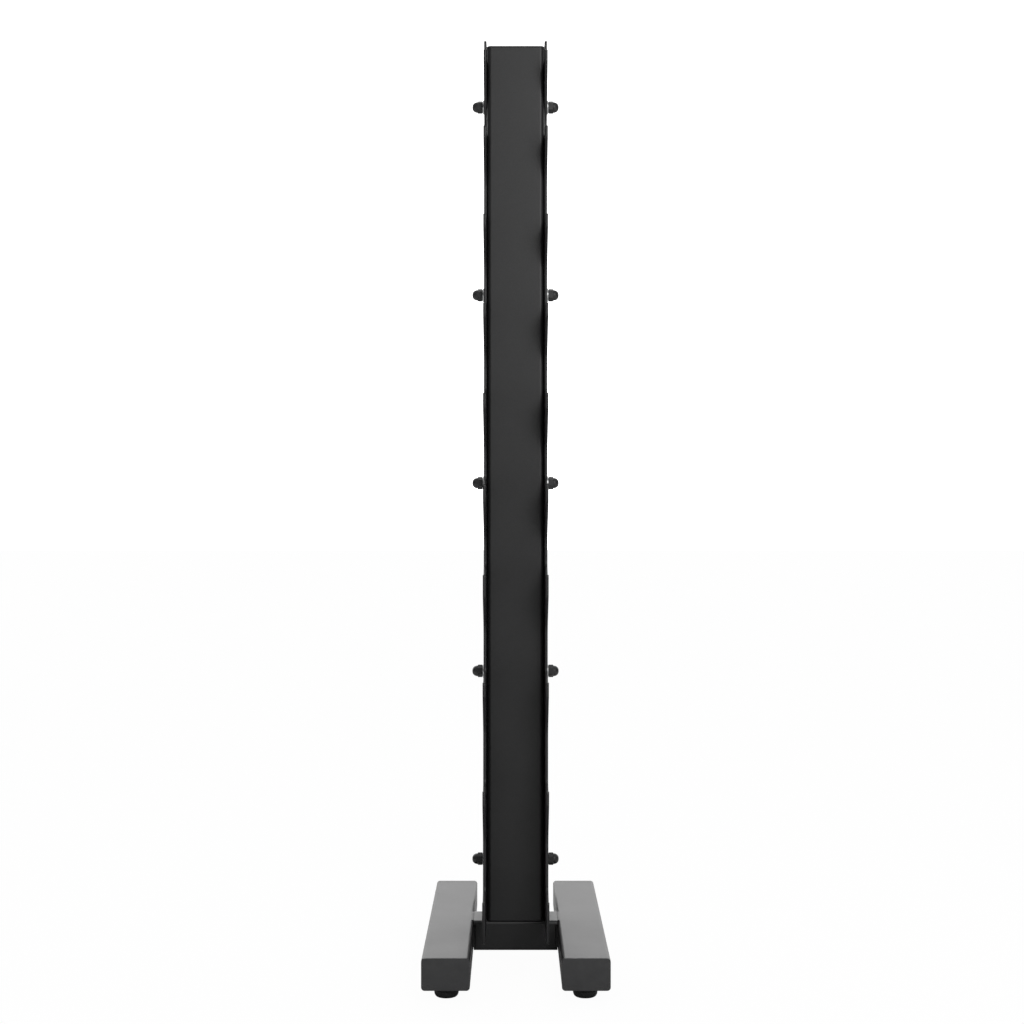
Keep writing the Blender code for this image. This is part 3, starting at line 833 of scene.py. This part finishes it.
def dome_nut():
    """A nut that stands on Z = 0 with its dome above."""
    angles = nut_angles()

    def round_ring(radius, z):
        return [(radius * math.cos(a), radius * math.sin(a), z) for a in angles]

    def hex_ring(z, inward):
        """A ring on the hexagon's sides, drawn inward along Z as far as the chamfer cuts."""
        points = []
        for a in angles:
            radius = hex_radius(a)
            cut = max(0.0, radius - CHAMFER_START) * math.tan(NUT_CHAMFER)
            points.append((radius * math.cos(a), radius * math.sin(a), z + inward * cut))
        return points

    rings = [
        round_ring(NUT_BORE, NUT_BORE_DEPTH),
        round_ring(NUT_BORE, NUT_BORE_BREAK),
        round_ring(NUT_BORE + NUT_BORE_BREAK, 0.0),
        round_ring(CHAMFER_START, 0.0),
        hex_ring(0.0, 1),
        hex_ring(NUT_HEX, -1),
        round_ring(CHAMFER_START + 0.0001, NUT_HEX - 0.00002),
        round_ring(NUT_DOME - 0.0001, NUT_HEX),
        round_ring(DOME_FOOT, NUT_HEX + 0.0002),
    ]
    for step in range(DOME_STEPS):
        lift = QUARTER_TURN * step / DOME_STEPS
        height = DOME_BASE + (NUT_HEIGHT - DOME_BASE) * math.sin(lift)
        rings.append(round_ring(DOME_FOOT * math.cos(lift) ** DOME_FULLNESS, height))
    return loft(rings)


def washer(thickness):
    """A flat ring that stands on Z = 0, with broken edges."""
    inner, outer, edge = ROD_HOLE, WASHER_RADIUS, WASHER_EDGE
    profile = [
        (inner, edge / 2), (inner, thickness - edge / 2), (inner + edge / 2, thickness),
        (outer - edge, thickness), (outer - edge * 0.3, thickness - edge * 0.3),
        (outer, thickness - edge), (outer, edge), (outer - edge * 0.3, edge * 0.3),
        (outer - edge, 0.0), (inner + edge / 2, 0.0),
    ]
    return spin(profile, WASHER_STEPS)


def seat_of(node, sign):
    """The middle of the side on which a fastener sits."""
    low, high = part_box(node)
    return Vector((low.x if sign > 0 else high.x, 0, (low.z + high.z) / 2))


# %% Build every nut and washer
CORNER_UP = Matrix.Rotation(math.radians(30), 4, "Z")
for side, sign in SIDES.items():
    outward = (sign, 0, 0)
    for number in range(1, 6):
        nut = f"dome_nut_{side}_{number}"
        stand = facing(outward, seat_of(nut, sign)) @ CORNER_UP
        dress(f"cap_nut_{side}_{number}", dome_nut(), BLACK_NUT, "rack", nut, matrix=stand)
        flat = f"washer_{side}_{number}"
        thickness = middle_and_size(flat)[1].x
        stand = facing(outward, seat_of(flat, sign))
        dress(f"flat_washer_{side}_{number}", washer(thickness), ZINC, "rack", flat, matrix=stand)
print("nut", NUT_HEIGHT * 1000, "mm high, washer", round(thickness * 1000, 2), "mm thick")

# %% [markdown]
# ## Levelling feet
# Each foot end stands on a rubber pad. A threaded stud turns in the pad and screws up into the
# foot, so the rack can be levelled on an uneven gym floor. When a pad is wound down, its stud's
# thread shows, so the thread is a real helix: its rows climb one pitch each time they go round.

# %% A rolled thread with its round head
STUD_STEPS = 36
THREAD_PITCH = 0.0015
THREAD_CREST = 0.00492
THREAD_ROOT = 0.00408
THREAD_END = 0.0036
THREAD_PROFILE = ((0.0, THREAD_ROOT), (0.1875, THREAD_ROOT), (0.4375, THREAD_CREST), (0.6875, THREAD_CREST))
HEAD_RADIUS = 0.011
HEAD_TOP = 0.0087
HEAD_EDGE = 0.0006
SOCKET_FLATS = 0.006
SOCKET_DEPTH = 0.003


def thread_rows(low, high, share_round):
    """Points (radius, height) up one side of the stud. They climb with the share of a turn."""
    rows = []
    for turn in range(-1, math.ceil((high - low) / THREAD_PITCH) + 1):
        for share, radius in THREAD_PROFILE:
            z = low + (turn + share + share_round) * THREAD_PITCH
            lead_in = min(1.0, max(0.0, (high - z) / THREAD_PITCH))
            radius = THREAD_END + (radius - THREAD_END) * lead_in
            if z <= low:
                radius = THREAD_ROOT
            rows.append((radius, min(high, max(low, z))))
    return rows


def threaded_stud(low, top):
    """A stud with a round head below and a rolled thread above, standing on its own axis."""
    ease = HEAD_EDGE * 0.3
    mesh = bpy.data.meshes.new("stud")
    bm = bmesh.new()
    columns = []
    for column in range(STUD_STEPS + 1):
        angle = math.tau * column / STUD_STEPS
        socket = SOCKET_FLATS / 2 / math.cos(angle % math.radians(60) - math.radians(30))
        profile = [
            (0.0, low + SOCKET_DEPTH), (socket, low + SOCKET_DEPTH),
            (socket, low + 0.0002), (socket + 0.0003, low),
            (HEAD_RADIUS - HEAD_EDGE, low), (HEAD_RADIUS - ease, low + ease),
            (HEAD_RADIUS, low + HEAD_EDGE), (HEAD_RADIUS, HEAD_TOP - HEAD_EDGE),
            (HEAD_RADIUS - ease, HEAD_TOP - ease), (HEAD_RADIUS - HEAD_EDGE, HEAD_TOP),
            (THREAD_ROOT + 0.0003, HEAD_TOP),
        ]
        profile += thread_rows(HEAD_TOP, top, column / STUD_STEPS)
        profile += [(THREAD_END, top), (0.0, top)]
        columns.append([bm.verts.new((radius * math.cos(angle), radius * math.sin(angle), z))
                        for radius, z in profile])
    for left, right in zip(columns, columns[1:]):
        for i in range(len(left) - 1):
            bm.faces.new((left[i], right[i], right[i + 1], left[i + 1]))
    bmesh.ops.remove_doubles(bm, verts=bm.verts, dist=0.000002)
    bmesh.ops.recalc_face_normals(bm, faces=bm.faces)
    bm.to_mesh(mesh)
    bm.free()
    return mesh


# %% [markdown]
# ## The rubber pad
# The pad is round, with a full side that has one shallow band, a rounded foot, a grip groove in
# the sole, and a recess from below in which the stud's head turns. One profile spun round the axis
# makes all of it.

# %% The pad's profile
PAD_STEPS = 96
PAD_BORE = 0.0058
PAD_SHOULDER = 0.0010
PAD_FOOT = (0.0055, 0.0085)  # how far in and how far up its rounding goes
BAND = (0.0075, 0.0093)  # from the pad's top down to the band's two edges
GROOVE_RADIUS = 0.0129
GROOVE_DEPTH = 0.0007
RECESS = (0.0115, 0.0090)  # radius and depth


def quarter(centre_radius, centre_z, wide, high, start, end, steps):
    """Points on part of an ellipse, its angles in degrees."""
    points = []
    for step in range(steps + 1):
        angle = math.radians(start + (end - start) * step / steps)
        points.append((centre_radius + wide * math.cos(angle), centre_z + high * math.sin(angle)))
    return points


def pad_profile(radius, top):
    """The pad's section, from its bore over the top, down its side and back under the sole."""
    foot_in, foot_up = PAD_FOOT
    band_top, band_low = (top - below for below in BAND)
    recess, recess_top = RECESS
    return [
        (PAD_BORE + 0.0004, top), (radius - 0.0016, top),
        *quarter(radius - PAD_SHOULDER, top - PAD_SHOULDER, PAD_SHOULDER, PAD_SHOULDER, 90, 0, steps=4),
        (radius, band_top), (radius - GROOVE_DEPTH, band_top - 0.0005),
        (radius - GROOVE_DEPTH, band_low + 0.0005), (radius, band_low),
        *quarter(radius - foot_in, foot_up, foot_in, foot_up, 0, -90, steps=9),
        (GROOVE_RADIUS, 0.0), (GROOVE_RADIUS - 0.0002, GROOVE_DEPTH),
        (GROOVE_RADIUS - 0.0006, GROOVE_DEPTH), (GROOVE_RADIUS - 0.0008, 0.0),
        (recess + 0.0002, 0.0), (recess, 0.0002), (recess, recess_top),
        (PAD_BORE, recess_top), (PAD_BORE, top - 0.0003),
    ]


# %% Build the levelling feet
for side, end in CORNERS:
    low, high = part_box(f"leveller_pad_{side}_{end}")
    centre = Vector(((low.x + high.x) / 2, (low.y + high.y) / 2, low.z))
    pad_mesh = spin(pad_profile((high.x - low.x) / 2, high.z - low.z), PAD_STEPS)
    dress(f"rubber_foot_{side}_{end}", pad_mesh, RUBBER, f"pad_{side}_{end}",
          f"leveller_pad_{side}_{end}", matrix=Matrix.Translation(centre))
    low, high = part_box(f"leveller_stud_{side}_{end}")
    dress(f"threaded_stud_{side}_{end}", threaded_stud(low.z, high.z), ZINC, f"stud_{side}_{end}",
          f"leveller_stud_{side}_{end}", matrix=Matrix.Translation((centre.x, centre.y, 0)))
print("pads and studs:", 2 * len(CORNERS), "thread climbs", THREAD_PITCH * 1000, "mm a turn")

# %% [markdown]
# ## Weld beads
# The tubes are joined by welds laid in short overlapping pools, which freeze as crescents. A bead
# is a lens-shaped section swept along the joint. Its height swells and falls once a pool, and its
# ends run out round. The coat goes over it, so it wears the same black.

# %% Sweeping a bead along a joint
POOL = 0.0024
POOL_SLANT = 0.30
POOL_SWELL = 0.28
BEAD_SPACING = 0.0004
BEAD_STEPS = 16


def weld_bead(name, start, end, across, up, half_width, rise, sink):
    """A bead from start to end. Across and up are the directions of its section."""
    start, end, across, up = Vector(start), Vector(end), Vector(across), Vector(up)
    length = (end - start).length
    count = round(length / BEAD_SPACING)
    rings = []
    for i in range(count + 1):
        along = length * i / count
        from_end = min(along, length - along)
        taper = math.sqrt(max(0.02, 1 - max(0.0, 1 - from_end / half_width) ** 2))
        ring = []
        for step in range(BEAD_STEPS):
            angle = math.tau * step / BEAD_STEPS
            pool = (along / POOL + POOL_SLANT * math.sin(angle)) % 1.0
            freeze = 1.0 if pool < 0.9 else (1.0 - pool) * 10
            swell = 1 - POOL_SWELL + POOL_SWELL * math.sqrt(pool) * freeze
            lift = (rise * swell if math.sin(angle) > 0 else sink) * math.sin(angle)
            wide = half_width * math.cos(angle) * (0.94 + 0.06 * swell)
            ring.append(start.lerp(end, along / length) + taper * (wide * across + lift * up))
        rings.append(ring)
    bead = dress(name, loft(rings), COAT, "rack", sharp=math.radians(80))


def corner_bead(name, start, end, first, second, leg):
    """A bead in the corner between two faces, which leave the corner along first and second."""
    first, second = Vector(first), Vector(second)
    offset = (first + second) * leg * 0.46
    weld_bead(name, Vector(start) + offset, Vector(end) + offset, (first - second).normalized(),
              (first + second).normalized(), half_width=leg * 0.74, rise=leg * 0.14, sink=leg * 0.6)


# %% Lay the beads
FOOT_LEG = 0.0045
PLATE_LEG = 0.0038
PLATE_BEAD_START = 0.006
PLATE_BEAD_END = 0.030
cross_low, cross_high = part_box("cross_tube")
joint_low = cross_low.z + TUBE_CORNER
joint_high = cross_high.z - TUBE_CORNER
for side, sign in SIDES.items():
    foot_face = sign * (abs(foot_middle.x) - foot_size.x / 2)
    for end, toward in ENDS.items():
        face = cross_low.y if toward < 0 else cross_high.y
        corner_bead(f"weld_foot_{side}_{end}", (foot_face, face, joint_low), (foot_face, face, joint_high),
                    (-sign, 0, 0), (0, toward, 0), FOOT_LEG)
    seam = foot_face + sign * 0.0022
    reach = cross_high.y - TUBE_CORNER
    seam_height = cross_high.z - 0.0007
    weld_bead(f"weld_foot_{side}_top", (seam, -reach, seam_height), (seam, reach, seam_height),
              (1, 0, 0), (0, 0, 1), half_width=0.0033, rise=0.0010, sink=0.0030)
    plate_low, plate_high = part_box(f"hook_plate_{side}")
    outer = plate_high.x if sign > 0 else plate_low.x
    for end, toward in ENDS.items():
        corner_bead(f"weld_plate_{side}_{end}", (outer, toward * PLATE_BEAD_START, cross_high.z),
                    (outer, toward * PLATE_BEAD_END, cross_high.z), (sign, 0, 0), (0, 0, 1), PLATE_LEG)
beads = [o for o in bpy.data.objects if o.name.startswith(("weld_foot", "weld_plate"))]
print("weld beads:", len(beads))

# %% [markdown]
# ## Finishes for the engineering pieces that stay
# The rods, sleeves and weld nuts are out of sight inside the tubes. Their engineering shapes are
# right, so they keep them and only get the zinc finish.

# %% Zinc for the hidden fasteners
for name, node in nodes.items():
    if not node.hide_render:
        for material_slot in node.material_slots:
            material_slot.material = ZINC
print("kept as engineered:", len([n for n in nodes.values() if not n.hide_render]))

# %% [markdown]
# ## The floor
# The rack stands on a pale, matt floor. Where the camera looks, a plain white glow is mixed in, so
# that the floor almost melts into the white room and still keeps a trace of shade.

# %% A pale floor
FLOOR_LOW = (0.90, 0.90, 0.90, 1.0)
FLOOR_HIGH = (0.93, 0.93, 0.93, 1.0)
BLEACH_SHARE = 0.97  # how much of the floor that the camera sees is plain white
UNDER_PADS = -0.0004


def pale_floor():
    mesh = bpy.data.meshes.new("floor")
    bm = bmesh.new()
    bmesh.ops.create_grid(bm, x_segments=24, y_segments=24, size=40.0)
    bm.to_mesh(mesh)
    bm.free()
    floor = bpy.data.objects.new("floor", mesh)
    bpy.context.scene.collection.objects.link(floor)
    material, tree, principled = start_material("pale_floor")
    mottle = noise(tree, own_place(tree), 3.0, detail=3.0)
    tree.links.new(blend_colors(tree, mottle, FLOOR_LOW, FLOOR_HIGH), principled.inputs["Base Color"])
    principled.inputs["Roughness"].default_value = 0.9
    bleach = add_node(tree, "ShaderNodeEmission", {"Color": (1.0, 1.0, 1.0, 1.0)})
    seen = add_node(tree, "ShaderNodeLightPath").outputs["Is Camera Ray"]
    share = maths(tree, "MULTIPLY", seen, BLEACH_SHARE)
    mix = add_node(tree, "ShaderNodeMixShader",
                   {0: share, 1: principled.outputs["BSDF"], 2: bleach.outputs["Emission"]})
    tree.links.new(mix.outputs["Shader"], tree.nodes["Material Output"].inputs["Surface"])
    mesh.materials.append(material)
    floor.location.z = UNDER_PADS


pale_floor()
print("floor at", UNDER_PADS)

# %% [markdown]
# ## Light
# Satin black shows little but its reflections, so what surrounds it matters more than strength. A
# large soft lamp above the camera and to its right lights the upper spine, and the bright room
# behind shines along the tops of the feet.

# %% A soft lamp
sheet = bpy.data.lights.new("lamp_over_camera", "AREA")
sheet.shape = "RECTANGLE"
sheet.size = 1.6
sheet.size_y = 2.4
sheet.energy = 60.0
lamp = bpy.data.objects.new("lamp_over_camera", sheet)
lamp.location = (1.0, -3.4, 2.2)
lamp.rotation_euler = (Vector((0.0, 0.0, 1.0)) - lamp.location).to_track_quat("-Z", "Y").to_euler()
bpy.context.scene.collection.objects.link(lamp)
print("lamps:", len(bpy.data.lights))

# %% A white room
LIGHT_BEHIND = 1.95
LIGHT_ABOVE = 0.7
LIGHT_ELSEWHERE = 0.06


def white_room():
    """White to the camera. As light, it is bright behind and above, dim at the sides and in front."""
    world = bpy.data.worlds.new("white_room")
    world.use_nodes = True
    tree = world.node_tree
    direction = add_node(tree, "ShaderNodeTexCoord").outputs["Generated"]
    axes = add_node(tree, "ShaderNodeSeparateXYZ", {"Vector": direction}).outputs
    behind = remap(tree, axes["Y"], 0.3, 0.95, 0.0, LIGHT_BEHIND)
    above = remap(tree, axes["Z"], 0.3, 0.95, 0.0, LIGHT_ABOVE)
    light = maths(tree, "ADD", maths(tree, "ADD", behind, above), LIGHT_ELSEWHERE)
    seen = add_node(tree, "ShaderNodeLightPath").outputs["Is Camera Ray"]
    strength = maths(tree, "MAXIMUM", light, seen)
    background = tree.nodes["Background"]
    background.inputs["Color"].default_value = (1.0, 1.0, 1.0, 1.0)
    tree.links.new(strength, background.inputs["Strength"])
    return world


bpy.context.scene.world = white_room()
bpy.context.scene.view_settings.view_transform = "Standard"
print("world:", bpy.context.scene.world.name)

# %% [markdown]
# ## The camera
# It stands level, at about half the rack's height and nearly three metres away, so that upright
# edges stay upright.

# %% The camera
view = bpy.data.cameras.new("view")
view.lens = 59.94
view.sensor_width = 36.0
view.shift_y = 0.0078125
view.clip_end = 50.0
camera = bpy.data.objects.new("camera", view)
camera.location = (-0.0061, -2.9475, 0.755)
camera.rotation_euler = (math.radians(90), 0.0, 0.0)
bpy.context.scene.collection.objects.link(camera)
bpy.context.scene.camera = camera
print("camera lens:", round(view.lens, 2), "mm")
